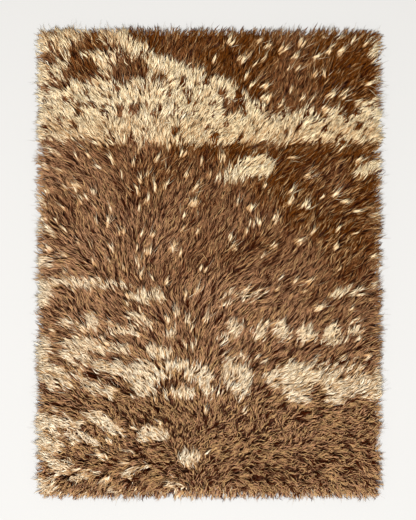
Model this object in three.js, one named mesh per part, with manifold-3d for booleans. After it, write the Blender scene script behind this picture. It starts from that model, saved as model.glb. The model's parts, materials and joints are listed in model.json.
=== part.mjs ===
// Knotted rug with long shaggy pile, lying flat with its woven back on the ground.
// Millimetres, +Z up. The pile is combed towards +Y and fans out to both sides.
// One closed solid: a flat back, a lumpy top in combed tufts, and pointed locks all round the rim.
import * as THREE from 'three';
import * as BufferGeometryUtils from 'three/addons/utils/BufferGeometryUtils.js';
import Module from 'manifold-3d';

const wasm = await Module();
wasm.setup();

// Driving sizes
const pileWidth = 1200; // X, side to side over the dense pile
const pileLength = 1640; // Y, end to end over the dense pile
const rimLockInset = 15; // the slab's edge lies this far inside the dense pile's edge
const backInset = 14; // the woven back ends this far inside the slab's edge
const pileHeight = 35; // top of the combed pile over the ground
const footPileExtra = 8; // how much higher the pile stands where it is upright, near the -Y end
const edgeHeight = 22; // height of the slab's edge, where the pile rolls over
const shoulderWidth = 58; // the pile rounds down to its edge over this width

// The uneven outline: each side wanders in and out in one long and one short wave
const edgeWave = 5;
const longWave = { share: 0.6, length: 1075 };
const shortWave = { share: 0.4, length: 421, phaseGain: 2.3 };
const sidePhases = { left: 0.9, right: 4.1, foot: 2.6, head: 5.7 };

// The way the pile lies: it turns outwards towards the sides, more so near the foot
const fanAngleFoot = 1.35; // radians, at the sides
const fanAngleHead = 0.75;
const fanPower = 1.3;

// Tufts that show on the top
const tuftHeight = 6;
const tuftAcross = 104; // spacing of the tufts from side to side
const tuftAlong = 84; // spacing of the tufts from end to end
const footTuftGain = 1.35; // the upright pile near the -Y end is lumpier
const footStart = -360; // Y where the pile starts to stand up
const footFull = -620; // Y where it stands up fully
const rowSway = { size: 1.7, length: 383 }; // the rows of tufts sway from side to side
const columnSway = { size: 1.4, length: 295 };
const driftLength = 333; // a slow diagonal swell under the tufts
const driftSlant = 0.6;
const tipSharpness = 0.6; // how much faster a tuft drops at its tips than it rises
const reliefShares = { across: 0.45, along: 0.6, drift: 0.35 };
const reliefAtEdge = 0.3; // share of the relief that is left at the slab's edge

// Grid of the lumpy top
const columns = 35;
const rows = 48;
const rimRowDepth = 16; // width of the outermost row of cells

// Locks round the rim
const lockSpacing = 25;
const lockWidth = 15;
const lockThickness = 12;
const lockRootInset = 22; // each lock starts this far inside the slab's edge
const lockRootHeight = 13;
const lockTipHeight = 4;
const lockReachLeast = 17; // how far the shortest lock's tip lies outside the slab's edge
const lockReachMost = 36;
const lockBendMost = 5;
const lockPlaceJitter = 0.2; // of the spacing
const lockLeanJitter = 0.1; // radians, to either side
const lockWidthJitter = 0.2;
const lockUnderShare = 0.4; // share of a lock's thickness below its centre line
const headLean = 0.8; // share of the nap's turn that the locks at the head follow
const footLean = 0.55; // radians, at the corners of the foot
const sideLean = 0.5; // radians towards the head, at the corners of the head
const lockSections = [
  { along: 0, width: 0.9, thickness: 1, height: 1 },
  { along: 0.62, width: 0.85, thickness: 0.75, height: 0.6 },
];
const randomSeed = 20;

function seededRandom(seed) {
  let state = seed;
  return () => {
    state = (state * 48271) % 2147483647;
    return state / 2147483647;
  };
}

function smoothStep(from, to, value) {
  const part = Math.min(Math.max((value - from) / (to - from), 0), 1);
  return part * part * (3 - 2 * part);
}

// How upright the pile stands: 0 combed flat, 1 standing up
function uprightShare(y) {
  return smoothStep(footStart, footFull, y);
}

// The way the pile lies on the plan, as an angle from +Y, positive towards +X
function napAngle(x, y) {
  const side = x / (pileWidth / 2);
  const turn = THREE.MathUtils.lerp(fanAngleFoot, fanAngleHead, smoothStep(0, pileLength / 2, y));
  return Math.sign(side) * Math.pow(Math.abs(side), fanPower) * turn;
}

function wave(position, length, phase = 0) {
  return Math.sin((2 * Math.PI * position) / length + phase);
}

function sideWander(position, phase) {
  const slow = longWave.share * wave(position, longWave.length, phase);
  const quick = shortWave.share * wave(position, shortWave.length, shortWave.phaseGain * phase);
  return edgeWave * (slow + quick);
}

// A point of the plan: across and along run from -1 to 1 over the slab, which inset makes smaller
function planPoint(across, along, inset) {
  const halfWidth = pileWidth / 2 - rimLockInset - inset;
  const halfLength = pileLength / 2 - rimLockInset - inset;
  const plainX = across * halfWidth;
  const plainY = along * halfLength;
  const x = plainX + across * sideWander(plainY, across < 0 ? sidePhases.left : sidePhases.right);
  const y = plainY + along * sideWander(plainX, along < 0 ? sidePhases.foot : sidePhases.head);
  return new THREE.Vector2(x, y);
}

// The tufts in rows that sway, each rising slowly and dropping fast at its tips
function tuftRelief(x, y) {
  const across = wave(x, tuftAcross, rowSway.size * wave(y, rowSway.length));
  const alongPhase = (2 * Math.PI * y) / tuftAlong + columnSway.size * wave(x, columnSway.length);
  const along = Math.sin(alongPhase - tipSharpness * Math.cos(alongPhase));
  const drift = wave(x + driftSlant * y, driftLength);
  const gain = THREE.MathUtils.lerp(1, footTuftGain, uprightShare(y));
  const mixed = reliefShares.across * across + reliefShares.along * along + reliefShares.drift * drift;
  return tuftHeight * gain * mixed;
}

// Height of the pile's top, rounded down towards the slab's edge
function topHeight(x, y, edgeDistance) {
  const full = pileHeight + footPileExtra * uprightShare(y);
  const run = 1 - Math.min(edgeDistance / shoulderWidth, 1);
  const roll = Math.sqrt(1 - run * run);
  const relief = tuftRelief(x, y) * THREE.MathUtils.lerp(reliefAtEdge, 1, roll);
  return edgeHeight + (full - edgeHeight) * roll + relief;
}

// Grid lines from -1 to 1 with a narrow row of cells at each end
function gridLines(count, halfSize) {
  const rim = rimRowDepth / halfSize;
  const lines = [-1];
  for (let i = 0; i <= count; i += 1) {
    lines.push(THREE.MathUtils.lerp(-1 + rim, 1 - rim, i / count));
  }
  lines.push(1);
  return lines;
}

// The slab: a lumpy top grid, a side that tucks in towards the back, and the flat back
function slabGeometry() {
  const acrossLines = gridLines(columns, pileWidth / 2);
  const alongLines = gridLines(rows, pileLength / 2);
  const lastColumn = acrossLines.length - 1;
  const lastRow = alongLines.length - 1;
  const positions = [];
  const indices = [];
  const topIndex = (column, row) => row * acrossLines.length + column;

  for (const along of alongLines) {
    for (const across of acrossLines) {
      const point = planPoint(across, along, 0);
      const fromSide = (1 - Math.abs(across)) * (pileWidth / 2);
      const fromEnd = (1 - Math.abs(along)) * (pileLength / 2);
      const z = topHeight(point.x, point.y, Math.min(fromSide, fromEnd));
      positions.push(point.x, point.y, z);
    }
  }
  for (let row = 0; row < lastRow; row += 1) {
    for (let column = 0; column < lastColumn; column += 1) {
      const a = topIndex(column, row);
      const b = topIndex(column + 1, row);
      const c = topIndex(column + 1, row + 1);
      const d = topIndex(column, row + 1);
      indices.push(a, b, c, a, c, d);
    }
  }

  // The rim, counter-clockwise from the corner at -X -Y
  const rim = [];
  for (let column = 0; column < lastColumn; column += 1) rim.push([column, 0]);
  for (let row = 0; row < lastRow; row += 1) rim.push([lastColumn, row]);
  for (let column = lastColumn; column > 0; column -= 1) rim.push([column, lastRow]);
  for (let row = lastRow; row > 0; row -= 1) rim.push([0, row]);

  const backStart = positions.length / 3;
  const backOutline = [];
  for (const [column, row] of rim) {
    const point = planPoint(acrossLines[column], alongLines[row], backInset);
    backOutline.push(point);
    positions.push(point.x, point.y, 0);
  }
  rim.forEach(([column, row], i) => {
    const next = (i + 1) % rim.length;
    const top = topIndex(column, row);
    const nextTop = topIndex(rim[next][0], rim[next][1]);
    indices.push(backStart + i, backStart + next, nextTop);
    indices.push(backStart + i, nextTop, top);
  });
  for (const [a, b, c] of THREE.ShapeUtils.triangulateShape(backOutline, [])) {
    indices.push(backStart + a, backStart + c, backStart + b);
  }

  const geometry = new THREE.BufferGeometry();
  geometry.setAttribute('position', new THREE.Float32BufferAttribute(positions, 3));
  geometry.setIndex(indices);
  return geometry;
}

// One lock: a three-sided horn that leaves the rim, droops and ends in a point near the ground
function lockGeometry(root, heading, length, width, bend) {
  const forward = new THREE.Vector2(Math.sin(heading), Math.cos(heading));
  const right = new THREE.Vector2(forward.y, -forward.x);
  const positions = [];
  const indices = [];
  const centreAt = (along) => root.clone()
    .addScaledVector(forward, length * along)
    .addScaledVector(right, bend * along * along);

  for (const section of lockSections) {
    const centre = centreAt(section.along);
    const half = (width * section.width) / 2;
    const height = THREE.MathUtils.lerp(lockTipHeight, lockRootHeight, section.height);
    const low = height - lockUnderShare * lockThickness * section.thickness;
    const high = height + (1 - lockUnderShare) * lockThickness * section.thickness;
    positions.push(centre.x + right.x * half, centre.y + right.y * half, low);
    positions.push(centre.x, centre.y, high);
    positions.push(centre.x - right.x * half, centre.y - right.y * half, low);
  }
  const tip = centreAt(1);
  positions.push(tip.x, tip.y, lockTipHeight);

  const sides = 3;
  const tipIndex = lockSections.length * sides;
  indices.push(0, 1, 2);
  for (let section = 0; section < lockSections.length; section += 1) {
    for (let side = 0; side < sides; side += 1) {
      const a = section * sides + side;
      const b = section * sides + ((side + 1) % sides);
      if (section === lockSections.length - 1) {
        indices.push(b, a, tipIndex);
      } else {
        indices.push(a, b + sides, b, a, a + sides, b + sides);
      }
    }
  }
  const geometry = new THREE.BufferGeometry();
  geometry.setAttribute('position', new THREE.Float32BufferAttribute(positions, 3));
  geometry.setIndex(indices);
  return geometry;
}

// Locks along one side: they point outwards and lean with the nap
function sideLocks(side, random) {
  const straight = side.length - 2 * rimLockInset;
  const count = Math.round(straight / lockSpacing);
  const eitherWay = (size) => size * (2 * random() - 1);
  const locks = [];
  for (let i = 0; i < count; i += 1) {
    const place = ((i + 0.5 + eitherWay(lockPlaceJitter)) / count) * 2 - 1;
    const edge = side.edgePoint(place);
    const outward = Math.atan2(side.outward.x, side.outward.y);
    const lean = side.lean(edge) + eitherWay(lockLeanJitter);
    const root = edge.clone().addScaledVector(side.outward, -lockRootInset);
    const reach = THREE.MathUtils.lerp(lockReachLeast, lockReachMost, random());
    const length = (lockRootInset + reach) / Math.cos(lean);
    const width = lockWidth * (1 + eitherWay(lockWidthJitter));
    locks.push(lockGeometry(root, outward + lean, length, width, eitherWay(lockBendMost)));
  }
  return locks;
}

function rimLocks() {
  const random = seededRandom(randomSeed);
  const leanToHead = (edge) => sideLean * smoothStep(-pileLength / 2, pileLength / 2, edge.y);
  const sides = [
    {
      length: pileWidth,
      outward: new THREE.Vector2(0, 1),
      edgePoint: (place) => planPoint(place, 1, 0),
      lean: (edge) => headLean * napAngle(edge.x, edge.y),
    },
    {
      length: pileWidth,
      outward: new THREE.Vector2(0, -1),
      edgePoint: (place) => planPoint(place, -1, 0),
      lean: (edge) => -footLean * (edge.x / (pileWidth / 2)),
    },
    {
      length: pileLength,
      outward: new THREE.Vector2(1, 0),
      edgePoint: (place) => planPoint(1, place, 0),
      lean: (edge) => -leanToHead(edge),
    },
    {
      length: pileLength,
      outward: new THREE.Vector2(-1, 0),
      edgePoint: (place) => planPoint(-1, place, 0),
      lean: leanToHead,
    },
  ];
  return sides.flatMap((side) => sideLocks(side, random));
}

function toSolid(geometry) {
  geometry.deleteAttribute('normal');
  geometry.deleteAttribute('uv');
  const merged = BufferGeometryUtils.mergeVertices(geometry);
  return new wasm.Manifold(new wasm.Mesh({
    numProp: 3,
    vertProperties: new Float32Array(merged.attributes.position.array),
    triVerts: new Uint32Array(merged.index.array),
  }));
}

function toGeometry(solid) {
  const mesh = solid.getMesh();
  const geometry = new THREE.BufferGeometry();
  geometry.setAttribute('position', new THREE.BufferAttribute(new Float32Array(mesh.vertProperties), 3));
  geometry.setIndex(new THREE.BufferAttribute(new Uint32Array(mesh.triVerts), 1));
  return geometry;
}

// The whole rug, centred on the plan, with its back on the ground
function rugMesh() {
  let solid = toSolid(slabGeometry());
  for (const lock of rimLocks()) solid = solid.add(toSolid(lock));
  const geometry = toGeometry(solid);
  geometry.computeBoundingBox();
  const centre = geometry.boundingBox.getCenter(new THREE.Vector3());
  geometry.translate(-centre.x, -centre.y, -geometry.boundingBox.min.z);
  geometry.computeVertexNormals();
  const wool = new THREE.MeshStandardMaterial({ color: '#7a5435', roughness: 0.95, metalness: 0 });
  const mesh = new THREE.Mesh(geometry, wool);
  mesh.name = 'rug';
  return mesh;
}

const rug = new THREE.Group();
rug.add(rugMesh());

export default rug;
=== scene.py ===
import json
import math
import bpy
import numpy as np
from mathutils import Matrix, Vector
from mathutils.bvhtree import BVHTree

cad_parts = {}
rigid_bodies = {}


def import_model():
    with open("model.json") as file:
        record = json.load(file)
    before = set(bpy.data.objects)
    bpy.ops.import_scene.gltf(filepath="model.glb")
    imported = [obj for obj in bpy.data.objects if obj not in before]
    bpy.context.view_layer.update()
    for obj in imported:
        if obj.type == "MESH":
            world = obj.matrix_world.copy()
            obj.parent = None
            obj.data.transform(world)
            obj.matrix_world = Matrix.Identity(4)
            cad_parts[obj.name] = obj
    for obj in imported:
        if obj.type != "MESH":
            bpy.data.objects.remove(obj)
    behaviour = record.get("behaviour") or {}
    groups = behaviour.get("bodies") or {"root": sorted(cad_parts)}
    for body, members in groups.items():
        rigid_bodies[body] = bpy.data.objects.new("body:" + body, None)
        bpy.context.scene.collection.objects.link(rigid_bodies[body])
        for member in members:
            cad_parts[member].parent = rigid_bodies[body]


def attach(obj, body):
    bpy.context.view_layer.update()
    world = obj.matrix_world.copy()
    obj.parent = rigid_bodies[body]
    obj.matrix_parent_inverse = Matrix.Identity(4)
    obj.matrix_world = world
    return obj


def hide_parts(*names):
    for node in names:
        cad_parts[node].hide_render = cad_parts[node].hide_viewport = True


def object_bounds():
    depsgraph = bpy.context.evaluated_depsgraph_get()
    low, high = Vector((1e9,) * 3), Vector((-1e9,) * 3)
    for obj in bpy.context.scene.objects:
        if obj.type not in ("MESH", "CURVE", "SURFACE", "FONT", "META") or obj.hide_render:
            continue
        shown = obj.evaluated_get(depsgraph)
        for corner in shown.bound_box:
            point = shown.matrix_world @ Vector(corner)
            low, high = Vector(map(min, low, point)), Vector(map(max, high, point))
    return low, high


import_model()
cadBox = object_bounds()

rug = {
    "groundWidth": 1.168,
    "groundLength": 1.614,
    "groundThickness": 0.0036,
    "groundLift": 0.0006,  # the weave's high spots carry the rug
}


# Small sums that the plan of the pile uses

def groundHalves(inset=0.0):  # half its width and half its length
    return rug["groundWidth"] / 2 - inset, rug["groundLength"] / 2 - inset


def smooth(start, end, value):
    part = np.clip((value - start) / (end - start), 0.0, 1.0)
    return part * part * (3 - 2 * part)


def blend(low, high, part):
    return low + (high - low) * part


def within(zone, x, y):  # a zone is the X and then the Y at which it starts and is full
    return smooth(*zone[0], x) * smooth(*zone[1], y)


def softNoise(x, y, cell, seed):  # smooth random hills about one cell wide, from -1 to 1
    size = 256
    lattice = np.random.default_rng(seed).uniform(-1, 1, (size, size))
    u = np.asarray(x) / cell + size / 2
    v = np.asarray(y) / cell + size / 2
    column = np.floor(u).astype(int)
    row = np.floor(v).astype(int)
    across = smooth(0, 1, u - column)
    along = smooth(0, 1, v - row)

    def at(i, j):
        return lattice[j % size, i % size]

    near = blend(at(column, row), at(column + 1, row), across)
    far = blend(at(column, row + 1), at(column + 1, row + 1), across)
    return blend(near, far, along)


# The fleece pattern: where the knots are cream, as it shows from above

fleece = {
    "ragged": 0.24,  # how far the patches' edges wander
    "raggedNoise": (0.022, 11),  # cell size and seed, as for each noise below
    "fringe": (1.0, 1.12),  # a patch fades between these parts of its size
    "hillFoot": 0.437,  # Y of the cream field's straight lower edge
    "hillSoft": 0.006,  # its edges fade this far to either side
    "hillStep": 0.008,  # rise of its lower edge at the left
    "hillStepX": (-0.3, -0.5),
    "wander": 0.014,  # of the field's upper edge
    "wanderNoise": (0.028, 12),
    "footWander": 0.25,  # part of it that the lower edge has
    "streaked": ((-0.28, -0.34), (0.77, 0.8)),  # cream streaks run through its brown here
    "streakedMore": 0.15,
    "streakedMost": 0.9,
}

# The cream field's upper edge, from left to right
hillEdge = {
    "x": (-0.62, -0.3, -0.24, -0.19, -0.12, -0.06, 0.0, 0.06, 0.12, 0.18,
          0.24, 0.3, 0.36, 0.4, 0.46, 0.5, 0.54, 0.62),
    "y": (0.86, 0.83, 0.78, 0.755, 0.735, 0.695, 0.67, 0.648, 0.622, 0.575,
          0.59, 0.525, 0.575, 0.52, 0.565, 0.535, 0.58, 0.555),
}

# Patches: X, Y, half width and half height in mm, tilt in degrees, and the share where it isn't whole
creamPatches = (
    # upper half
    (590, 760, 14, 34, 0, 0.8), (165, 356, 62, 34, 0), (140, 332, 75, 17, 0), (572, 345, 50, 22, 15),
    (70, 310, 40, 10, 0, 0.8), (-600, 235, 30, 10, 10, 0.8), (-595, 125, 35, 12, 0, 0.8),
    (-590, 10, 40, 18, -10, 0.6), (115, -104, 85, 22, 0, 0.3),
    # thin lines and dashes above the middle of the lower half
    (-435, -60, 165, 12, -2), (-590, -90, 30, 45, 0), (-220, -102, 62, 18, -3, 0.95),
    (500, -85, 100, 12, 8, 0.6),
    # the upper broken band
    (92, -212, 22, 32, 0), (52, -250, 18, 12, 0), (185, -225, 16, 32, 0), (265, -225, 24, 34, 20),
    (350, -232, 32, 28, 10), (436, -228, 26, 26, 15), (520, -225, 22, 20, 15),
    (400, -262, 100, 10, 4, 0.7), (-260, -185, 42, 12, -28), (-415, -190, 26, 22, -30, 0.8),
    (-515, -200, 30, 10, 0, 0.9), (-318, -226, 46, 15, 0), (-132, -228, 14, 26, -20, 0.9),
    (-78, -190, 12, 18, 0, 0.8), (-180, -296, 45, 18, -12), (-70, -280, 26, 14, 0, 0.9),
    (-470, -268, 60, 16, 0), (-385, -288, 115, 12, -2),
    # the main lower band
    (-590, -310, 22, 60, 0), (-470, -328, 72, 17, -16, 0.95), (-365, -358, 50, 20, -8, 0.95),
    (-550, -400, 56, 40, -10, 0.85), (-420, -418, 75, 18, -30, 0.85), (-230, -376, 92, 36, 0),
    (-238, -428, 42, 32, 0), (-110, -346, 60, 16, 0), (-36, -378, 50, 32, -15),
    (-115, -440, 50, 17, 0, 0.95), (-5, -425, 14, 36, 0, 0.9), (98, -385, 55, 44, 0),
    (110, -432, 32, 32, 0), (130, -330, 80, 20, 0, 0.4), (298, -390, 90, 44, 0),
    (318, -438, 46, 42, 0), (500, -400, 116, 44, 0), (462, -450, 48, 34, 15),
    (580, -450, 36, 18, -15), (420, -345, 170, 20, 5, 0.5),
    # below it, mostly on the left
    (-580, -605, 46, 78, 0), (-515, -552, 60, 18, -5), (-455, -602, 65, 14, -12),
    (-375, -548, 66, 20, -30), (-200, -588, 50, 22, 0), (-78, -668, 38, 22, -5),
    (-525, -702, 40, 24, 15, 0.95), (-430, -742, 60, 13, 15, 0.95), (-260, -720, 46, 10, 14, 0.9),
    (-580, -775, 30, 30, 0, 0.9),
)

brownPatches = (  # inside the cream field
    (-570, 730, 50, 19, 12), (-425, 768, 105, 20, 4), (-435, 792, 32, 34, 0), (-500, 676, 30, 28, 0),
    (-450, 694, 56, 42, -20), (-285, 694, 72, 40, 0), (-375, 670, 40, 14, 0), (-550, 636, 54, 17, 14),
    (-168, 662, 22, 28, 0), (85, 562, 36, 22, -15), (237, 556, 18, 28, 0),
    # notches in the lower band
    (388, -462, 24, 40, 12), (522, -484, 34, 30, 0), (490, -345, 115, 34, -8, 0.55),
    (185, -440, 30, 60, 10),
)


def patchCover(x, y, patches):
    cover = np.zeros_like(x)
    rough = softNoise(x, y, *fleece["raggedNoise"]) * fleece["ragged"]
    for patchX, patchY, halfWidth, halfHeight, tilt, *share in patches:
        turn = math.radians(tilt)
        dx = x - patchX / 1000
        dy = y - patchY / 1000
        across = (dx * math.cos(turn) + dy * math.sin(turn)) / (halfWidth / 1000)
        along = (dy * math.cos(turn) - dx * math.sin(turn)) / (halfHeight / 1000)
        reach = np.hypot(across, along) + rough
        inside = 1 - smooth(*fleece["fringe"], reach)
        cover = np.maximum(cover, math.prod(share) * inside)
    return cover


# Small flecks, one at most in each cell of a loose grid, wide at the root and pointed along the nap:
# the cell's width and height, the fleck's half width and half length, and the seed
flecks = {
    "field": (0.056, 0.052, 0.008, 0.008, 61),
    "above": (0.05, 0.052, 0.0085, 0.0085, 62),
    "brown": (0.05, 0.043, 0.0125, 0.0105, 63),
    "streak": (0.085, 0.042, 0.0085, 0.012, 64),
}

fleckForm = {
    "cells": 128,  # across the table of random values
    "margin": 0.15,  # free part of a cell before a fleck's place
    "room": 0.7,
    "smallest": 0.7,
    "sizes": 0.6,  # added to the smallest at most
    "taper": 0.62,
}

# Share of the cells that have a fleck, and the zones in which that share changes
fleckShare = {
    "field": (0.42, 0.85),  # in the brown field, and at its left above the middle
    "left": ((0.2, -0.2), (-0.15, 0.15)),
    "rightPart": 0.12,  # part of them at the right towards the foot
    "right": ((0.0, 0.25), (-0.4, -0.5)),
    "lowerPart": 0.4,
    "lowerY": (-0.15, -0.3),
    "clear": (0.0, 0.04),  # height over the cream field where they end
    "above": (0.06, 0.85),  # above the cream field, at the left and at the right
    "aboveX": (0.06, 0.2),
    "streak": 0.45,
    "streaks": ((-0.1, -0.32), (-0.12, -0.25)),
    "brown": (0.35, 0.92),  # in the cream field, and at its left and over its foot
    "brownX": (-0.3, -0.5),
    "brownY": (0.49, 0.53),
}


def napReach(napX, napY):  # the nap's length, never quite nothing
    return np.maximum(np.hypot(napX, napY), 0.05)


def fleckCover(x, y, napX, napY, kind, kept):  # 1 inside a fleck, 0 outside
    cellX, cellY, halfWidth, halfLength, seed = flecks[kind]
    length = napReach(napX, napY)
    size = fleckForm["cells"]
    cells = np.random.default_rng(seed).uniform(0, 1, (size, size, 4))
    column = np.floor(x / cellX).astype(int)
    row = np.floor(y / cellY).astype(int)
    cover = np.zeros_like(x)
    for i, j in ((column + stepX, row + stepY) for stepX in (-1, 0, 1) for stepY in (-1, 0, 1)):
        value = cells[j % size, i % size]
        dx = x - (i + fleckForm["margin"] + fleckForm["room"] * value[:, 0]) * cellX
        dy = y - (j + fleckForm["margin"] + fleckForm["room"] * value[:, 1]) * cellY
        scale = fleckForm["smallest"] + fleckForm["sizes"] * value[:, 3]
        ahead = (dx * napX + dy * napY) / length / (halfLength * scale)
        aside = (dy * napX - dx * napY) / length / (halfWidth * scale)
        room = np.clip((1 - ahead) * fleckForm["taper"], 0.0, 1.0) * (ahead > -1)
        cover = np.where((value[:, 2] < kept) & (np.abs(aside) < room), 1.0, cover)
    return cover


def creamShare(x, y, napX, napY):  # share of cream at each place, and where it is a small fleck
    wander = fleece["wander"] * softNoise(x, y, *fleece["wanderNoise"])
    above = y + wander - np.interp(x, hillEdge["x"], hillEdge["y"])
    step = fleece["hillStep"] * smooth(*fleece["hillStepX"], x)
    soft = fleece["hillSoft"]
    over = smooth(-soft, soft, y + fleece["footWander"] * wander - fleece["hillFoot"] - step)
    inHill = smooth(soft, -soft, above) * over
    zone = np.maximum(inHill, patchCover(x, y, creamPatches)) * (1 - patchCover(x, y, brownPatches))
    more = np.minimum(zone + fleece["streakedMore"], fleece["streakedMost"])
    zone = np.where(within(fleece["streaked"], x, y) > 0.5, more, zone)

    share = fleckShare
    inField = blend(*share["field"], within(share["left"], x, y))
    inField *= blend(1.0, share["rightPart"], within(share["right"], x, y))
    inField *= 1 - smooth(*share["clear"], above) * over
    inField = inField * blend(1.0, share["lowerPart"], smooth(*share["lowerY"], y)) * (1 - inHill)
    overHill = blend(*share["above"], smooth(*share["aboveX"], x)) * over * (above > 0)
    streakX, streakY = share["streaks"]
    atFoot = share["streak"] * smooth(*streakX, x) * smooth(*streakY, y)
    fleck = np.zeros_like(x)
    for kind, kept in (("field", inField), ("above", overHill), ("streak", atFoot)):
        fleck = np.maximum(fleck, fleckCover(x, y, napX, napY, kind, kept))
    specked = np.maximum(smooth(*share["brownY"], y), smooth(*share["brownX"], x))
    speck = fleckCover(x, y, napX, napY, "brown", blend(*share["brown"], specked) * inHill)
    return np.maximum(zone * (1 - speck), fleck), np.where(zone < 0.5, fleck, speck) > 0.5


# The plan of the pile: one row of values for each strand that grows from the ground

pile = {
    "tuftColumns": 114,
    "tuftRows": 157,
    "jitter": 0.38,  # in cells of that grid
    "edgeGap": 0.003,  # from the ground's edge to the outermost roots
    "rootDepth": 0.0006,
    "tuftSpread": 0.005,
    "strandsLeast": 2,  # strands in a tuft
    "oneMore": 0.3,  # share of the tufts with one more
    "rimFrom": 0.5,  # tufts over this at the rim have one more
    "footFrom": 0.1,  # and over this at the foot two more
    "lockRun": 0.054,  # reach of a combed lock over the ground
    "lockHalfWidth": 0.0012,
    "tallest": 0.047,
    "bareTop": 0.02,  # where the solid has no top
    "uprightY": (-0.44, -0.6),  # where the pile begins to stand up towards the foot
    "rimWidth": 0.042,
    "rimReach": 0.74,  # part of a lock's reach at the rim
    "footFold": 0.05,  # locks turn down over the foot within this
    "showing": 0.8,  # a lock shows this part of its reach ahead of its root
    "streakLength": 0.034,  # neighbours along the nap share a tone this far
    "streakSteps": 13,
    "streakNoise": (0.0042, 41),
    "formNoise": (0.022, 42),  # neighbouring tufts mostly share a form
    "wisps": 4000,  # single thin strands besides the locks
    "rimWisps": 4.0,  # so many times more of them at the rim
    "fleckWisps": 8.0,  # and in cream flecks
    "mostTriangles": 188000,  # in one piece
    "curlSeed": 3,
    "seed": 5,
}

# Angles in radians from +Y towards +X, by height over the rug: at X = 0, and per metre of X
nap = {
    "y": (-0.76, -0.68, -0.6, -0.3, 0.0, 0.82),
    "leftTurn": (-1.9, -0.6, -0.25, -0.3, 0.2, 0.28),
    "leftFan": (0.4, 1.7, 2.1, 1.3, 2.1, 2.1),
    "rightTurn": (1.4, 0.95, 0.5, 0.38, 0.42, 0.44),
    "rightFan": (1.3, 1.15, 1.0, 1.1, 0.9, 0.85),
    "crown": (-0.05, -0.05, -0.05, -0.14, -0.24, -0.27),
    "crownSoft": 0.17,  # the two sides blend this far off the crown
    "untidy": (1.3, 1.0),  # at the left and at the right
    "untidyX": (-0.3, 0.2),
    "lean": 0.97,  # 1 lies flat
    "uprightLean": 0.8,  # part of it in the foot quarter
    "sideRoll": 0.45,  # the outermost pile rolls over the ground's edge
    "headRoll": 0.3,
}

# How evenly the pile lies: strength, cell and seed of each noise
napNoise = {
    "wide": (0.26, 0.16, 31),
    "local": (0.34, 0.04, 32),
    "fine": (0.28, 0.018, 37),
    "lean": (0.08, 0.06, 33),
    "footTurn": (0.55, 0.024, 39),
    "footSide": (0.4, 0.026, 36),
}

# Short dark lines from which the curly pile leans away
parting = {
    "stretch": 0.42,  # they are longer across the rug
    "noise": (0.034, 34),
    "step": 0.004,  # over which the noise's slope is taken
    "near": (0.5, 0.05),
    "steep": (0.01, 0.07),
    "brokenNoise": (0.07, 35),
    "broken": (-0.1, 0.4),
    "foot": 0.5,  # strength in the foot quarter
    "middle": 0.3,  # and above it
    "middleY": (-0.12, -0.3),
}


def uneven(kind, x, y, factor=1.0):
    strength, cell, seed = napNoise[kind]
    return factor * strength * softNoise(x, y, cell, seed)


def napField(x, y):  # the way the pile lies, as a vector whose length is how far it lies over
    # combed up and outwards from a crown line left of the middle, and down over the foot's corners
    onLeft = np.interp(y, nap["y"], nap["leftTurn"]) + np.interp(y, nap["y"], nap["leftFan"]) * x
    onRight = np.interp(y, nap["y"], nap["rightTurn"]) + np.interp(y, nap["y"], nap["rightFan"]) * x
    crown = np.interp(y, nap["y"], nap["crown"])
    angle = blend(onLeft, onRight, smooth(crown - nap["crownSoft"], crown + nap["crownSoft"], x))
    untidy = blend(*nap["untidy"], smooth(*nap["untidyX"], x))
    angle = angle + uneven("wide", x, y, untidy) + uneven("local", x, y, untidy)
    angle += uneven("fine", x, y)
    lean = nap["lean"] + uneven("lean", x, y)
    upright = smooth(*pile["uprightY"], y)
    lean *= blend(1.0, nap["uprightLean"], upright)
    angle += uneven("footTurn", x, y, upright)
    napX = lean * np.sin(angle)
    napY = lean * np.cos(angle)
    # away from partings
    wide = x * parting["stretch"]
    crack = softNoise(wide, y, *parting["noise"])
    slope = softNoise(wide, y + parting["step"], *parting["noise"]) - crack
    near = smooth(*parting["near"], np.abs(crack)) * smooth(*parting["steep"], np.abs(slope))
    away = np.sign(crack) * np.sign(slope) * near
    broken = smooth(*parting["broken"], softNoise(x, y, *parting["brokenNoise"]))
    middle = parting["middle"] * smooth(*parting["middleY"], y) * (1 - upright)
    napY += (parting["foot"] * upright + middle) * broken * away
    napX += uneven("footSide", x, y, upright)
    halfWidth, halfLength = groundHalves()
    overSide = smooth(halfWidth - pile["rimWidth"], halfWidth, np.abs(x))
    overHead = smooth(halfLength - pile["rimWidth"], halfLength, y)
    napX += nap["sideRoll"] * np.sign(x) * overSide
    napY += nap["headRoll"] * overHead
    cap = 1.0 / np.maximum(np.hypot(napX, napY), 1.0)
    return napX * cap, napY * cap, np.maximum(overSide, overHead)


def streaks(x, y, napX, napY):  # noise drawn out along the nap
    length = napReach(napX, napY)
    total = 0
    for step in np.linspace(-1, 1, pile["streakSteps"]) * pile["streakLength"]:
        total += softNoise(x + step * napX / length, y + step * napY / length, *pile["streakNoise"])
    return total / np.std(total)


def solidTops(x, y):  # height of the CAD solid's top under each place
    graph = bpy.context.evaluated_depsgraph_get()
    tree = BVHTree.FromObject(bpy.data.objects["rug"], graph)
    start = cadBox[1][2] + 0.1
    hits = (tree.ray_cast(Vector((px, py, start)), Vector((0, 0, -1)))[0] for px, py in zip(x, y))
    return np.array([hit.z if hit is not None else pile["bareTop"] for hit in hits])


# How much values vary from tuft to tuft
tuftVaries = {"tone": 0.13, "turn": 0.13, "drift": 0.01, "form": 0.5, "length": 0.07, "lift": 0.05}

# Numbers in the list of strand forms: four alike come first, four curled, one wispy and one thick
formNumber = {"alike": 4, "curled": 4, "wispy": 8, "thick": 9}


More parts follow.
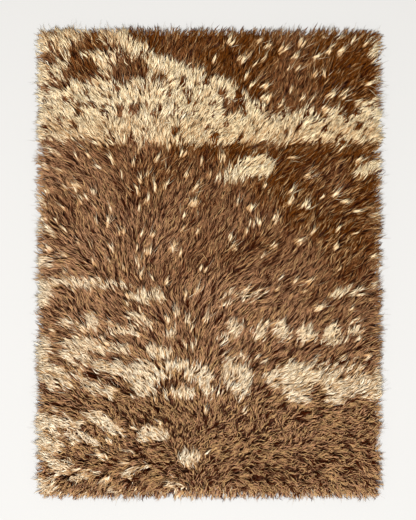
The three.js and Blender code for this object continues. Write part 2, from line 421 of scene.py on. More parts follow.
def tuftPlan(random):  # one row of values for each tuft
    columns, rows, jitter = pile["tuftColumns"], pile["tuftRows"], pile["jitter"]
    count = columns * rows
    halfWidth, halfLength = groundHalves(pile["edgeGap"])
    column, row = np.meshgrid(np.arange(columns), np.arange(rows))
    column = column.ravel() + 0.5 + random.uniform(-jitter, jitter, count)
    row = row.ravel() + 0.5 + random.uniform(-jitter, jitter, count)
    x = (column / columns * 2 - 1) * halfWidth
    y = (row / rows * 2 - 1) * halfLength
    napX, napY, rim = napField(x, y)
    ahead = pile["showing"] * pile["lockRun"] * blend(1.0, pile["rimReach"], rim)
    share, fleck = creamShare(x + ahead * napX, y + ahead * napY, napX, napY)
    tufts = {
        "x": x, "y": y, "napX": napX, "napY": napY, "rim": rim,
        "lean": np.hypot(napX, napY),
        "heading": np.arctan2(napY, napX),
        "top": solidTops(x, y),
        "upright": smooth(*pile["uprightY"], y),
        "atFoot": smooth(-halfLength + pile["footFold"], -halfLength, y),
        "cream": random.uniform(0, 1, count) < share,
        "fleck": fleck,
    }
    for key in ("tone", "turn", "drift", "form", "length", "lift"):
        tufts[key] = tuftVaries[key] * random.standard_normal(count)
    half = formNumber["alike"] / 2
    phase = half + half * softNoise(x, y, *pile["formNoise"]) + tufts["form"]
    tufts["form"] = np.floor(phase).astype(int) % formNumber["alike"]
    return tufts


def dealStrands(random, tufts):  # each strand's tuft, and which strands are wisps
    count = tufts["x"].size
    more = 1 * (random.uniform(0, 1, count) < pile["oneMore"])
    more += random.uniform(0, 1, count) < tufts["upright"]
    more += tufts["cream"] | tufts["fleck"]
    more += tufts["rim"] > pile["rimFrom"]
    more += 2 * (tufts["atFoot"] > pile["footFrom"])
    tuft = np.repeat(np.arange(count), pile["strandsLeast"] + more)
    share = 1 + pile["rimWisps"] * np.maximum(tufts["rim"], tufts["atFoot"])
    share += pile["fleckWisps"] * (tufts["fleck"] & tufts["cream"])
    wispTufts = random.choice(count, pile["wisps"], p=share / share.sum())
    wisp = np.arange(tuft.size + wispTufts.size) >= tuft.size
    tuft = np.concatenate([tuft, wispTufts])
    order = np.argsort(tufts["y"][tuft], kind="stable")
    return tuft[order], wisp[order]


# A strand's tone, from 0 for deep over 0.5 for the wool's own colour to 1 for pale
tones = {
    "middle": 0.46,
    "tuft": 0.8,  # part of the tuft's own tone
    "streak": 0.11,
    "side": 0.65,  # painted light and shade: a lock is lighter along its middle than at its sides, where shade falls between the locks
    "sideMiddle": 0.4,
    "single": (0.16, 0.22),  # from strand to strand, combed and upright
    "lower": 1.9,  # tones differ more in the lower half
    "lowerY": (-0.25, -0.5),
    "upper": 0.7,  # and brown ones less in the upper half
    "upperY": (0.1, 0.5),
    "cream": 0.65,
    "upright": 0.04,
    "foot": 0.12,  # painted shade: darker at the foot, where the light falls off
    "footShadeY": (-0.64, -0.78),
    "rim": 0.28,  # paler at the rim, less so at the foot and the head
    "rimFoot": 0.9,
    "rimHead": 0.6,
    "headY": (0.74, 0.79),
    "golden": 0.3,  # deeper cream at the upper left
    "corner": ((-0.28, -0.34), (0.76, 0.8)),
    "band": 0.2,  # and along the cream field's foot
    "bandTop": (0.54, 0.48),
    "bandFoot": (0.4, 0.44),
    "fleck": (0.16, 0.2),  # deeper by this in cream and in brown
    "wisp": 0.25,
}


def strandTone(random, own, wisp, rim, side, streak, rootY, shownX, shownY):
    single = blend(*tones["single"], own["upright"]) * random.standard_normal(wisp.size)
    spare = tones["tuft"] * own["tone"] + tones["streak"] * streak
    # painted light and shade: lighter near the lock's middle, darker at its sides
    spare = spare - tones["side"] * (np.abs(side) - tones["sideMiddle"]) + single
    spare *= blend(1.0, tones["lower"], smooth(*tones["lowerY"], rootY))
    upper = blend(1.0, tones["upper"], smooth(*tones["upperY"], rootY))
    pale = tones["rim"] * rim ** 2 * (1 - tones["rimFoot"] * own["atFoot"])
    pale *= 1 - tones["rimHead"] * smooth(*tones["headY"], rootY)
    tone = tones["middle"] + tones["upright"] * own["upright"]
    # painted shade: darker towards the foot
    tone -= tones["foot"] * smooth(*tones["footShadeY"], rootY)
    tone = tone + np.where(own["cream"], tones["cream"], upper) * spare + pale
    cornerX, cornerY = tones["corner"]
    corner = tones["golden"] * smooth(*cornerX, shownX) * smooth(*cornerY, shownY)
    band = tones["band"] * smooth(*tones["bandTop"], shownY) * smooth(*tones["bandFoot"], shownY)
    tone -= np.where(own["cream"], np.maximum(corner, band), 0)
    tone -= np.where(own["fleck"], np.where(own["cream"], *tones["fleck"]), 0)
    return np.clip(np.where(wisp, tone + tones["wisp"], tone), 0, 1)


# How strands lie: pairs are a least and a most value, or where a change starts and ends
lie = {
    "foldLeast": 0.15,  # share of the foot edge's strands that turn down
    "foldMore": 0.8,
    "foldLean": 0.9,
    "foldFan": 0.5,
    "loose": (0.8, 0.3),  # lean at which a strand is loose
    "creamUnruly": 0.4,  # cream wool is straighter than brown
    "looseTurn": 3,
    "astray": (0.28, 0.05),  # spread of the headings of wisps and of others
    "looseAstray": 0.2,
    "uprightAstray": 0.08,
    "rimAstray": 0.15,
    "length": 0.08,
    "wispLength": (0.9, 1.45),
    "lengths": (0.6, 1.6),
    "leanLeast": 0.25,
    "fleckRun": (0.85, 0.75),  # of cream and of brown
    "uprightRun": 0.85,  # of brown strands
    "creamRun": (0.75, 1.3),  # of upright cream strands
    "drift": 0.006,
    "uprightCurl": 1.5,
    "curl": (0.8, 1.2),
}

# How high and how wide strands are
build = {
    "lift": 0.03,
    "streakLift": 0.07,
    "streaks": (-2, 2),
    "creamLift": 1.1,  # of upright cream strands
    "fleckLift": 1.12,  # flecks lie on top and show whole
    "lifts": (0.6, 1.4),
    "rimRise": 0.65,
    "wispRise": (0.95, 1.2),
    "droop": (0.55, 0.95),
    "widths": (0.78, 1.25),
    "uprightWidth": 0.95,
    "fleckWidth": (1.1, 1.5),  # of cream and of brown
    "width": (1.4, 1.1),
    "gather": (0.35, 0.85),  # part of the way to the tuft's middle
    "rimGather": 0.1,
    "fleckGather": 0.7,
    "ownForm": (0.1, 0.8),  # share with a form of their own, inside and at the rim
    "curly": (0.0, 0.5),
    "stout": 0.05,
    "paleWisp": 0.75,  # share of the rim's wisps that turn cream
}


def strandPlan():
    random = np.random.default_rng(pile["seed"])
    tufts = tuftPlan(random)
    tuft, wisp = dealStrands(random, tufts)
    own = {key: values[tuft] for key, values in tufts.items()}
    upright, cream, fleck = own["upright"], own["cream"], own["fleck"]
    count = tuft.size
    halfWidth, halfLength = groundHalves(pile["edgeGap"])

    def between(least=0, most=1):  # a random value for each strand
        return random.uniform(least, most, count)

    # roots
    spread = pile["tuftSpread"] * np.sqrt(between())
    around = between(0, 2 * np.pi)
    offsetX = spread * np.cos(around)
    offsetY = spread * np.sin(around)
    rootX = np.clip(own["x"] + offsetX, -halfWidth, halfWidth)
    rootY = np.clip(own["y"] + offsetY, -halfLength, halfLength)
    base = rug["groundLift"] + rug["groundThickness"] - pile["rootDepth"]
    streak = streaks(rootX, rootY, own["napX"], own["napY"])
    side = offsetY * own["napX"] - offsetX * own["napY"]
    side = side / napReach(own["napX"], own["napY"]) / pile["tuftSpread"]

    # heading and reach
    down = between() < lie["foldLeast"] + lie["foldMore"] * own["atFoot"]
    down &= own["atFoot"] > 0
    rim = np.where(down, 1.0, own["rim"])
    lean = np.where(down, lie["foldLean"], own["lean"])
    loose = smooth(*lie["loose"], lean)
    unruly = np.where(cream, lie["creamUnruly"], 1.0)
    heading = np.where(down, lie["foldFan"] * rootX / halfWidth - np.pi / 2, own["heading"])
    heading += own["turn"] * (1 + lie["looseTurn"] * loose * unruly)
    astray = np.where(wisp, *lie["astray"])
    astray += (lie["looseAstray"] * loose + lie["uprightAstray"] * upright) * unruly
    heading += (astray + lie["rimAstray"] * rim) * random.standard_normal(count)
    length = (1 + own["length"]) * (1 + lie["length"] * random.standard_normal(count))
    length *= np.where(wisp, between(*lie["wispLength"]), 1.0)
    run = pile["lockRun"] * np.clip(length, *lie["lengths"]) * np.maximum(lean, lie["leanLeast"])
    run *= blend(1.0, pile["rimReach"], rim)
    shownX = rootX + pile["showing"] * run * np.cos(heading)
    shownY = rootY + pile["showing"] * run * np.sin(heading)
    run *= np.where(fleck & ~wisp, np.where(cream, *lie["fleckRun"]), 1.0)
    run *= blend(1.0, np.where(cream, 1.0, lie["uprightRun"]), upright * (1 - rim))
    run *= np.where(cream, blend(1.0, between(*lie["creamRun"]), upright), 1.0)

    # height and width
    lift = 1 + build["lift"] * random.standard_normal(count)
    lift = (1 + own["lift"]) * (lift + build["streakLift"] * np.clip(streak, *build["streaks"]))
    lift = np.where(cream, lift * blend(1.0, build["creamLift"], upright), lift)
    lift = np.where(fleck, np.maximum(lift, 1) * build["fleckLift"], lift)
    rise = (own["top"] - base) * np.clip(lift, *build["lifts"])
    rise *= blend(1.0, build["rimRise"], rim)
    rise *= np.where(wisp, between(*build["wispRise"]), 1.0)
    rise = np.minimum(rise, pile["tallest"])
    droop = rise * rim * between(*build["droop"])
    width = pile["lockHalfWidth"] * between(*build["widths"])
    width *= blend(1.0, build["uprightWidth"], upright)
    width *= np.where(fleck, np.where(cream, *build["fleckWidth"]), np.where(cream, *build["width"]))
    gather = between(*build["gather"]) * blend(1.0, build["rimGather"], rim)
    gather = np.where(wisp, 0.0, np.where(fleck, build["fleckGather"], gather))

    # tone and form
    tone = strandTone(random, own, wisp, rim, side, streak, rootY, shownX, shownY)
    alone = between() < blend(*build["ownForm"], rim)
    form = np.where(alone, random.integers(0, formNumber["alike"], count), own["form"])
    curly = between() < smooth(*build["curly"], upright) * unruly
    variant = np.where(wisp, formNumber["wispy"], form + np.where(curly, formNumber["curled"], 0))
    stout = cream & (fleck | (between() < build["stout"]))
    variant = np.where(stout & ~wisp, formNumber["thick"], variant)
    paleWisp = wisp & (between() < build["paleWisp"] * rim)
    none = np.zeros(count)
    return {
        "root": np.stack([rootX, rootY, np.full(count, base)], 1),
        "turn": np.stack([none, none, heading], 1),
        "size": np.stack([run / strandShape["run"], width / pile["lockHalfWidth"],
                          rise / strandShape["rise"]], 1),
        "pull": np.stack([-offsetX * gather, -offsetY * gather, none], 1),
        "droop": droop,
        "tone": tone,
        "curl": blend(1.0, lie["uprightCurl"], upright) * between(*lie["curl"]),
        "drift": own["drift"] + lie["drift"] * random.standard_normal(count),
        "variant": variant,
        "cream": cream | paleWisp,
    }


# One strand: a three-sided tapered form that rises from the ground and lies over, root first

strandShape = {
    "run": 0.049,
    "rise": 0.031,
    "apex": 0.7,  # height of the section's upper corner, in half widths
    "base": 0.4,
}

combed = {
    "along": (0, 0.28, 0.64, 1.0),
    "forward": (0, 0.24, 0.61, 1.0),
    "up": (0, 0.62, 0.9, 1.0),
    "half": (0.95, 1.0, 0.82),
    "swing": 0.003,
    "waves": 0.85,
}

curled = {
    "along": (0, 0.22, 0.46, 0.72, 1.0),
    "forward": (0, 0.13, 0.4, 0.69, 0.95),
    "up": (0, 0.52, 0.8, 0.93, 1.0),
    "half": (0.9, 1.0, 0.95, 0.74),
    "swing": 0.0036,
    "waves": 1.3,
}

thick = combed | {
    "forward": (0, 0.2, 0.52, 0.88),
    "up": (0, 0.74, 0.98, 1.02),
    "half": (1.7, 2.2, 1.3),
    "swing": 0.0016,
    "waves": 0.6,
}

wispy = {
    "along": (0, 0.55, 1.0),
    "forward": (0, 0.45, 1.05),
    "up": (0, 0.95, 1.05),
    "half": (0.4, 0.36),
    "swing": 0.004,
    "waves": 0.6,
}

strandForms = [combed | {"phase": phase} for phase in (0.0, 0.28, 0.5, 0.74)]
strandForms += [curled | {"phase": phase} for phase in (0.1, 0.35, 0.6, 0.85)]
strandForms += [wispy | {"phase": 0.2}, thick | {"phase": 0.4}]


def makeStrand(name, form, collection):
    along = np.array(form["along"])
    turns = 2 * np.pi * (form["waves"] * along + form["phase"])
    sway = form["swing"] * (np.sin(turns) - math.sin(turns[0])) * smooth(0, 0.5, along)
    forward = np.array(form["forward"]) * strandShape["run"]
    up = np.array(form["up"]) * strandShape["rise"]
    path = np.stack([forward, sway, up], 1)
    rings = len(form["half"])
    corners = ((1, -strandShape["base"]), (0, strandShape["apex"]), (-1, -strandShape["base"]))
    points = []
    for ring in range(rings):
        travel = Vector(path[ring + 1] - path[max(ring - 1, 0)]).normalized()
        across = Vector((-travel.y, travel.x, 0)).normalized()
        normal = travel.cross(across)
        size = pile["lockHalfWidth"] * form["half"][ring]
        for aside, over in corners:
            points.append(Vector(path[ring]) + across * size * aside + normal * size * over)
    points.append(Vector(path[rings]))
    reached = [*np.repeat(along[:rings], 3), 1.0]
    tip = rings * 3
    faces = [(0, 1, 2)]
    places = [((0.0, 0.0), (0.5, 0.0), (1.0, 0.0))]
    for ring in range(rings):
        for side in range(3):
            a = ring * 3 + side
            b = ring * 3 + (side + 1) % 3
            left, right = side / 3, (side + 1) / 3
            low, high = along[ring:ring + 2]
            if ring == rings - 1:
                faces.append((a, tip, b))
                places.append(((left, low), ((left + right) / 2, high), (right, low)))
            else:
                faces.append((a, a + 3, b + 3, b))
                places.append(((left, low), (left, high), (right, high), (right, low)))
    mesh = bpy.data.meshes.new(name)
    mesh.from_pydata(points, [], faces)
    mesh.attributes.new("along", "FLOAT", "POINT").data.foreach_set("value", reached)
    mesh.uv_layers.new(name="strandUV").data.foreach_set("uv", np.concatenate(places).ravel())
    mesh.shade_smooth()
    collection.objects.link(bpy.data.objects.new(name, mesh))


# Nodes and objects

def addNode(tree, kind, inputs=None, **settings):
    node = tree.nodes.new(kind)
    for key, value in settings.items():
        setattr(node, key, value)
    for key, value in (inputs or {}).items():
        if isinstance(value, bpy.types.NodeSocket):
            tree.links.new(value, node.inputs[key])
        else:
            node.inputs[key].default_value = value
    return node


def maths(tree, kind, first, second=0.0, **settings):
    return addNode(tree, "ShaderNodeMath", {0: first, 1: second}, operation=kind, **settings).outputs[0]


def vectors(tree, kind, first, second):
    return addNode(tree, "ShaderNodeVectorMath", {0: first, 1: second}, operation=kind).outputs[0]


def scaled(tree, vector, factor):
    return addNode(tree, "ShaderNodeVectorMath", {0: vector, 3: factor}, operation="SCALE").outputs[0]


def mixed(tree, part, first, second, kind="MIX"):
    return addNode(tree, "ShaderNodeMix", {0: part, 6: first, 7: second},
                   data_type="RGBA", blend_type=kind).outputs[2]


def attribute(tree, name):
    return addNode(tree, "ShaderNodeAttribute", attribute_name=name).outputs["Fac"]


def dress(tree, shader, look, bump):  # gives a shader its colour and relief
    relief = addNode(tree, "ShaderNodeBump", bump).outputs["Normal"]
    tree.links.new(look, shader.inputs["Base Color"])
    tree.links.new(relief, shader.inputs["Normal"])


def addSockets(tree, kind, sockets):  # gives the identifier of each
    made = {}
    for name, (socketType, value) in sockets.items():
        socket = tree.interface.new_socket(name, in_out=kind, socket_type="NodeSocket" + socketType)
        if value is not None:
            socket.default_value = value
        made[name] = socket.identifier
    return made


def addObject(name, data):
    made = bpy.data.objects.new(name, data)
    bpy.context.scene.collection.objects.link(made)
    return made


def addMaterial(name, roughness):
    material = bpy.data.materials.new(name)
    material.use_nodes = True
    shader = material.node_tree.nodes["Principled BSDF"]
    shader.inputs["Roughness"].default_value = roughness
    return material, material.node_tree, shader


def makePileTree():
    tree = bpy.data.node_groups.new("pile", "GeometryNodeTree")
    names = addSockets(tree, "INPUT", {
        "Geometry": ("Geometry", None),
        "Strands": ("Collection", None),
        "Wool": ("Material", None),
        "Gathering": ("Float", 0.9),
        "Curl": ("Float", 0.022),
        "Curl Scale": ("Float", 45.0),
        "Floor Gap": ("Float", 0.001),
        "Cell Width": ("Float", 0.01),
        "Cell Height": ("Float", 0.01),
        "Seed": ("Int", 0),
    })
    addSockets(tree, "OUTPUT", {"Geometry": ("Geometry", None)})
    given = addNode(tree, "NodeGroupInput").outputs

    def add(kind, inputs=None, **settings):  # gives the node's first output
        return addNode(tree, kind, inputs, **settings).outputs[0]

    def stored(name, kind="FLOAT"):
        return add("GeometryNodeInputNamedAttribute", {"Name": name}, data_type=kind)

    forms = add("GeometryNodeCollectionInfo", {
        "Collection": given["Strands"], "Separate Children": True, "Reset Children": True})
    turn = add("FunctionNodeEulerToRotation", {"Euler": stored("turn", "FLOAT_VECTOR")})
    grown = add("GeometryNodeInstanceOnPoints", {
        "Points": given["Geometry"],
        "Instance": forms,
        "Pick Instance": True,
        "Instance Index": stored("variant", "INT"),
        "Rotation": turn,
        "Scale": stored("size", "FLOAT_VECTOR"),
    })
    real = add("GeometryNodeRealizeInstances", {"Geometry": grown})

    # the strands of a tuft gather to a point, curl, and droop over the rim
    along = stored("along")
    alongTwice = maths(tree, "MULTIPLY", along, along)
    pulled = maths(tree, "MULTIPLY", alongTwice, given["Gathering"])
    gathered = scaled(tree, stored("pull", "FLOAT_VECTOR"), pulled)
    noise = addNode(tree, "ShaderNodeTexNoise", {
        "Vector": add("GeometryNodeInputPosition"),
        "W": maths(tree, "ADD", stored("drift"), given["Seed"]),
        "Scale": given["Curl Scale"],
        "Detail": 1.0,
    }, noise_dimensions="4D")
    swing = vectors(tree, "SUBTRACT", noise.outputs["Color"], (0.5, 0.5, 0.5))
    curl = maths(tree, "MULTIPLY", maths(tree, "MULTIPLY", along, given["Curl"]), stored("curl"))
    fall = maths(tree, "MULTIPLY", maths(tree, "MULTIPLY", stored("droop"), alongTwice), -1.0)
    fallen = add("ShaderNodeCombineXYZ", {"Z": fall})
    offset = vectors(tree, "ADD", vectors(tree, "ADD", gathered, scaled(tree, swing, curl)), fallen)
    shaped = add("GeometryNodeSetPosition", {"Geometry": real, "Offset": offset})
    place = add("GeometryNodeInputPosition")
    parts = addNode(tree, "ShaderNodeSeparateXYZ", {"Vector": place}).outputs
    height = maths(tree, "MAXIMUM", parts["Z"], given["Floor Gap"])
    resting = add("ShaderNodeCombineXYZ", {"X": parts["X"], "Y": parts["Y"], "Z": height})
    rested = add("GeometryNodeSetPosition", {"Geometry": shaped, "Position": resting})

    # each strand has a small cell of the piece's map to itself
    cell = add("ShaderNodeCombineXYZ", {"X": given["Cell Width"], "Y": given["Cell Height"]})
    inCell = vectors(tree, "MULTIPLY", stored("strandUV", "FLOAT_VECTOR"), cell)
    mapped = add("GeometryNodeStoreNamedAttribute", {
        "Geometry": rested,
        "Name": "OFBake",
        "Value": vectors(tree, "ADD", inCell, stored("cell", "FLOAT_VECTOR")),
    }, data_type="FLOAT2", domain="CORNER")
    dressed = add("GeometryNodeSetMaterial", {"Geometry": mapped, "Material": given["Wool"]})
    addNode(tree, "NodeGroupOutput", {"Geometry": dressed})
    return tree, names


bakeMap = {
    "shape": 1.5,  # columns of cells for each row, roughly
    "margin": 0.06,  # of a cell, before what it holds
    "filled": 0.88,
}


def makePile(name, plan, rows, tree, names, strands, wool):
    count = len(rows)
    columns = math.ceil(math.sqrt(count * bakeMap["shape"]))
    lines = math.ceil(count / columns)
    index = np.arange(count)
    cell = np.stack([(index % columns + bakeMap["margin"]) / columns,
                     (index // columns + bakeMap["margin"]) / lines, np.zeros(count)], 1)
    mesh = bpy.data.meshes.new(name + "_plan")
    mesh.from_pydata(plan["root"][rows].tolist(), [], [])

    def store(key, kind, field, values):
        mesh.attributes.new(key, kind, "POINT").data.foreach_set(field, values)

    for key in ("turn", "size", "pull"):
        store(key, "FLOAT_VECTOR", "vector", plan[key][rows].ravel())
    for key in ("tone", "droop", "curl", "drift"):
        store(key, "FLOAT", "value", plan[key][rows])
    store("variant", "INT", "value", plan["variant"][rows].astype(np.int32))
    store("cell", "FLOAT_VECTOR", "vector", cell.ravel())
    grower = addObject(name + "_plan", mesh)
    modifier = grower.modifiers.new("pile", "NODES")
    modifier.node_group = tree
    modifier[names["Strands"]] = strands
    modifier[names["Wool"]] = wool
    modifier[names["Cell Width"]] = bakeMap["filled"] / columns
    modifier[names["Cell Height"]] = bakeMap["filled"] / lines
    modifier[names["Seed"]] = pile["curlSeed"]
    grown = grower.evaluated_get(bpy.context.evaluated_depsgraph_get())
    made = bpy.data.meshes.new_from_object(grown)
    grower.modifiers.remove(modifier)
    bpy.data.objects.remove(grower)
    for key in ("turn", "size", "pull", "droop", "curl", "drift", "variant", "cell"):
        if key in made.attributes:
            made.attributes.remove(made.attributes[key])
    made.name = name
    print(name, count, "strands", sum(len(p.vertices) - 2 for p in made.polygons), "triangles")
    return addObject(name, made)


# Materials

def colour(red, green, blue):  # from screen values of 0 to 255
    values = [v / 255 for v in (red, green, blue)]
    return tuple(v / 12.92 if v <= 0.04045 else ((v + 0.055) / 1.055) ** 2.4 for v in values) + (1.0,)


# The root colour is painted shade: the dark deep in the pile between the locks
brownWool = {
    "root": colour(56, 18, 2),
    "deep": colour(70, 26, 4),
    "body": colour(117, 65, 17),
    # pale is the palest wool and partly a painted highlight: the pale, greyer colour of lit locks
    "pale": colour(205, 165, 114),
    "faded": colour(200, 152, 114),
    "fibre": 0.45,
}

creamWool = {
    # painted shade: the golden-brown dark deep in the cream pile
    "root": colour(168, 114, 58),
    "deep": colour(206, 167, 120),
    "body": colour(246, 226, 184),
    # pale is the palest wool and partly a painted highlight on lit locks
    "pale": colour(252, 240, 214),
    "faded": colour(243, 221, 187),
    "fibre": 0.2,
}

yarnLook = {
    "fadeTowards": (0.65, 1.0, 0.0),  # the wool is less and less faded this way
    "fade": (-0.52, 0.68),
    "patchScale": 5.0,
    "patches": (0.35, 0.65),
    "patchFade": (-0.2, 0.2),
    "dark": (0.0, 0.5),  # tones from deep to the wool's own colour
    "light": (0.5, 1.0),
    "root": (0.08, 0.6),  # along the strand; the painted shade of the root colour ends over this
    "fibreStretch": (16.0, 7.0, 0.0),
    "fibreShift": 57.0,  # each tone has other fibres
    "fibres": (0.3, 0.7),
    "detail": 2.0,
    "bump": 0.4,
    "bumpDepth": 0.0004,
    "roughness": 0.7,
    "specular": 0.04,
}


def makeYarnGroup():  # colour along a strand, with painted shade towards its root, its tone, its fibres and slow fading over the rug
    tree = bpy.data.node_groups.new("yarn", "ShaderNodeTree")
    colours = {name + " Colour": ("Color", None) for name in ("Root", "Deep", "Body", "Pale", "Faded")}
    addSockets(tree, "INPUT", colours | {"Fibre": ("Float", 0.3)})
    addSockets(tree, "OUTPUT", {"Colour": ("Color", None), "Fibre Height": ("Float", None)})
    given = addNode(tree, "NodeGroupInput").outputs

    def ranged(value, key, start=0.0, end=1.0):
        low, high = yarnLook[key]
        return addNode(tree, "ShaderNodeMapRange", {
            "Value": value, "From Min": low, "From Max": high, "To Min": start, "To Max": end,
        }, interpolation_type="SMOOTHSTEP").outputs["Result"]

    along = attribute(tree, "along")
    tone = attribute(tree, "tone")
    onRug = addNode(tree, "ShaderNodeTexCoord").outputs["Object"]
    across = addNode(tree, "ShaderNodeVectorMath", {0: onRug, 1: yarnLook["fadeTowards"]},
                     operation="DOT_PRODUCT").outputs["Value"]
    drift = addNode(tree, "ShaderNodeTexNoise", {
        "Vector": onRug, "Scale": yarnLook["patchScale"], "Detail": yarnLook["detail"]}).outputs["Fac"]
    patchy = ranged(drift, "patches", *yarnLook["patchFade"])
    fade = maths(tree, "ADD", ranged(across, "fade", 1.0, 0.0), patchy, use_clamp=True)
    body = mixed(tree, fade, given["Body Colour"], given["Faded Colour"])
    darker = mixed(tree, ranged(tone, "dark"), given["Deep Colour"], body)
    toned = mixed(tree, ranged(tone, "light"), darker, given["Pale Colour"])
    # painted shade: each strand darkens into its root colour towards the ground, deep in the pile
    # between the locks
    whole = mixed(tree, ranged(along, "root"), given["Root Colour"], toned)

    # fibres run along the strand
    place = addNode(tree, "ShaderNodeUVMap", uv_map="strandUV").outputs["UV"]
    fibre = addNode(tree, "ShaderNodeTexNoise", {
        "Vector": vectors(tree, "MULTIPLY", place, yarnLook["fibreStretch"]),
        "W": maths(tree, "MULTIPLY", tone, yarnLook["fibreShift"]),
        "Scale": 1.0,
        "Detail": yarnLook["detail"],
    }, noise_dimensions="4D").outputs["Fac"]
    swing = maths(tree, "MULTIPLY", ranged(fibre, "fibres", -1.0, 1.0), given["Fibre"])
    power = maths(tree, "POWER", 2.0, swing)
    grey = addNode(tree, "ShaderNodeCombineColor", {0: power, 1: power, 2: power}).outputs[0]
    final = mixed(tree, 1.0, whole, grey, "MULTIPLY")
    addNode(tree, "NodeGroupOutput", {"Colour": final, "Fibre Height": fibre})
    return tree


def makeWool(name, look, yarn):
    material, tree, shader = addMaterial(name, yarnLook["roughness"])
    colours = addNode(tree, "ShaderNodeGroup", node_tree=yarn)
    for key, value in look.items():
        socket = key.title() if key == "fibre" else key.title() + " Colour"
        colours.inputs[socket].default_value = value
    dress(tree, shader, colours.outputs["Colour"], {
        "Strength": yarnLook["bump"],
        "Distance": yarnLook["bumpDepth"],
        "Height": colours.outputs["Fibre Height"],
    })
    shader.inputs["Specular IOR Level"].default_value = yarnLook["specular"]
    return material


weave = {
    "columns": 34,  # of the sheet's mesh
    "rows": 47,
    "wander": 0.003,  # of the edges
    "wanderLines": (3, 5),  # of the noise, for the sides and the ends
    "sideNoise": (0.2, 71),
    "endNoise": (0.2, 72),
    # the knots' own brown and cream, darkened to the pile's root tone: partly painted shade where gaps
    # in the pile show the ground
    "brown": colour(92, 46, 18),
    "cream": colour(150, 108, 64),
    "shade": 0.45,  # painted shade: brightness of the wool in the furrows between the knots
    "knotWidth": 0.0088,
    "knotLength": 0.0105,
    "knotRound": 0.6,
    "unevenScale": 14.0,
    "unevenDetail": 2.0,
    "relief": 0.0014,
    "roughness": 0.95,
}


def makeGround(material):
    columns, rows = weave["columns"], weave["rows"]
    halfWidth, halfLength = groundHalves()
    gridX, gridY = np.meshgrid(np.linspace(-halfWidth, halfWidth, columns + 1),
                               np.linspace(-halfLength, halfLength, rows + 1))
    wander = weave["wander"]
    lineX, lineY = (np.full_like(gridX, line) for line in weave["wanderLines"])
    gridX = gridX + wander * softNoise(gridY, lineX, *weave["sideNoise"]) * (gridX / halfWidth)
    gridY = gridY + wander * softNoise(gridX, lineY, *weave["endNoise"]) * (gridY / halfLength)
    x, y = gridX.ravel(), gridY.ravel()
    count = x.size
    low = rug["groundLift"]
    points = np.concatenate([np.stack([x, y, np.full(count, height)], 1)
                             for height in (low + rug["groundThickness"], low)])
    index = np.arange(count).reshape(rows + 1, columns + 1)
    faces = []
    for a in index[:-1, :-1].ravel().tolist():
        b = a + columns + 1
        faces += [(a, a + 1, b + 1, b), (count + a, count + b, count + b + 1, count + a + 1)]
    sides = (index[0, :-1], index[:-1, -1], index[-1, :0:-1], index[:0:-1, 0])
    rim = np.concatenate(sides).tolist()
    faces += [(count + a, count + b, b, a) for a, b in zip(rim, rim[1:] + rim[:1])]
    mesh = bpy.data.meshes.new("woven_ground")
    mesh.from_pydata(points.tolist(), [], faces)
    cream = creamShare(x, y, np.zeros(count), np.ones(count))[0]
    mesh.attributes.new("cream", "FLOAT", "POINT").data.foreach_set("value", np.tile(cream, 2))
    mesh.materials.append(material)
    return addObject("woven_ground", mesh)


def makeKnotGroup():  # rows of knots with a furrow of wefts between the rows
    tree = bpy.data.node_groups.new("knots", "ShaderNodeTree")
    addSockets(tree, "INPUT", {"Knot Width": ("Float", 0.01), "Knot Length": ("Float", 0.01)})
    addSockets(tree, "OUTPUT", {"Height": ("Float", None)})
    given = addNode(tree, "NodeGroupInput").outputs
    place = addNode(tree, "ShaderNodeTexCoord").outputs["Object"]
    uneven = addNode(tree, "ShaderNodeTexNoise", {
        "Vector": place, "Scale": weave["unevenScale"], "Detail": weave["unevenDetail"]}).outputs["Fac"]
    axes = addNode(tree, "ShaderNodeSeparateXYZ", {0: place}).outputs
    height = 1.0
    for axis, pitch in ((0, "Knot Width"), (1, "Knot Length")):
        turns = maths(tree, "ADD", maths(tree, "DIVIDE", axes[axis], given[pitch]), uneven)
        ridge = maths(tree, "ABSOLUTE", maths(tree, "SINE", maths(tree, "MULTIPLY", turns, math.pi)))
        height = maths(tree, "MULTIPLY", maths(tree, "POWER", ridge, weave["knotRound"]), height)
    addNode(tree, "NodeGroupOutput", {"Height": height})
    return tree


def makeGroundMaterial(knots):
    material, tree, shader = addMaterial("wovenGround", weave["roughness"])
    height = addNode(tree, "ShaderNodeGroup", {
        "Knot Width": weave["knotWidth"], "Knot Length": weave["knotLength"],
    }, node_tree=knots).outputs["Height"]
    # painted shade: the wool darkens into the furrows between the knots, besides the bump
    furrowShade = addNode(tree, "ShaderNodeMapRange", {
        "Value": height, "To Min": weave["shade"], "To Max": 1.0}).outputs["Result"]
    wool = mixed(tree, attribute(tree, "cream"), weave["brown"], weave["cream"])
    bump = {"Strength": 1.0, "Distance": weave["relief"], "Height": height}
    dress(tree, shader, scaled(tree, wool, furrowShade), bump)
    return material


# Floor, light and camera

view = {
    "frameHeight": 1.825,  # metres of floor in the picture's height
    "distance": 3.4,
    "pileHeight": 0.03,  # from which the distance is measured
    "shiftX": -0.005,
    "shiftY": 0.014,
    "sensor": 30.0,
}

studio = {
    "floorHalf": 12.0,
    "floorDrop": 0.0004,
    "floorColour": (0.528, 0.526, 0.518, 1),
    "floorRoughness": 0.9,
    "lampPlace": (-0.35, -1.5, 7.4),
    "lampSize": 2.6,
    "lampPower": 810,
    "skyColour": (1.0, 0.94, 0.87, 1),
    "skyStrength": 0.38,
}


def makeFloor():
    mesh = bpy.data.meshes.new("floor")
    half = studio["floorHalf"]
    mesh.from_pydata([(-half, -half, 0), (half, -half, 0), (half, half, 0), (-half, half, 0)],
                     [], [(0, 1, 2, 3)])
    material, tree, shader = addMaterial("paleFloor", studio["floorRoughness"])
    shader.inputs["Base Color"].default_value = studio["floorColour"]
    mesh.materials.append(material)
    floor = addObject("floor", mesh)
    floor.location.z = -studio["floorDrop"]


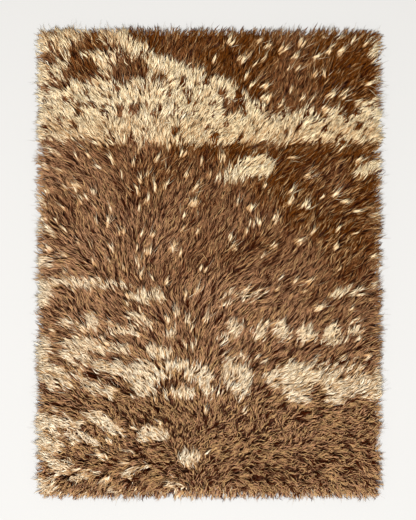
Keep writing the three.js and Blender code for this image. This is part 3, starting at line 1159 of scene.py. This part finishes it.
def makeLight():
    light = bpy.data.lights.new("key", "AREA")
    light.shape = "SQUARE"
    light.size = studio["lampSize"]
    light.energy = studio["lampPower"]
    lamp = addObject("key", light)
    lamp.location = studio["lampPlace"]
    lamp.rotation_euler = (-lamp.location).to_track_quat("-Z", "Y").to_euler()


def makeCamera():
    camera = bpy.data.cameras.new("camera")
    camera.sensor_fit = "VERTICAL"
    camera.sensor_height = view["sensor"]
    camera.lens = view["sensor"] * view["distance"] / view["frameHeight"]
    eye = addObject("camera", camera)
    eye.location = (view["shiftX"], view["shiftY"], view["distance"] + view["pileHeight"])
    bpy.context.scene.camera = eye


makeCamera()
makeFloor()
makeLight()
world = bpy.data.worlds.new("studio")
world.use_nodes = True
sky = world.node_tree.nodes["Background"]
sky.inputs["Color"].default_value = studio["skyColour"]
sky.inputs["Strength"].default_value = studio["skyStrength"]
bpy.context.scene.world = world
bpy.context.scene.view_settings.view_transform = "Standard"
print("camera, floor and light")

yarn = makeYarnGroup()
wools = {
    "brown": makeWool("brownWool", brownWool, yarn),
    "cream": makeWool("creamWool", creamWool, yarn),
}
strands = bpy.data.collections.new("strands")
for number, form in enumerate(strandForms):
    makeStrand(f"strand{number}", form, strands)
plan = strandPlan()
print("planned", plan["tone"].size, "strands", round(float(plan["cream"].mean()), 3), "cream")
tree, names = makePileTree()
formTriangles = np.array([6 * len(form["half"]) - 2 for form in strandForms])
piles = []
for wool, chosen in (("brown", ~plan["cream"]), ("cream", plan["cream"])):
    rows = np.flatnonzero(chosen)
    reached = np.cumsum(formTriangles[plan["variant"][rows]])
    parts = math.ceil(reached[-1] / pile["mostTriangles"])
    cuts = np.searchsorted(reached, reached[-1] * np.arange(1, parts) / parts)
    for number, part in enumerate(np.split(rows, cuts), 1):
        piece = makePile(f"{wool}_pile_{number}", plan, part, tree, names, strands, wools[wool])
        piles.append(piece)
for strand in list(strands.objects):
    bpy.data.objects.remove(strand)
bpy.data.collections.remove(strands)

ground = makeGround(makeGroundMaterial(makeKnotGroup()))
for piece in piles + [ground]:
    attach(piece, "root")
    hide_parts("rug")
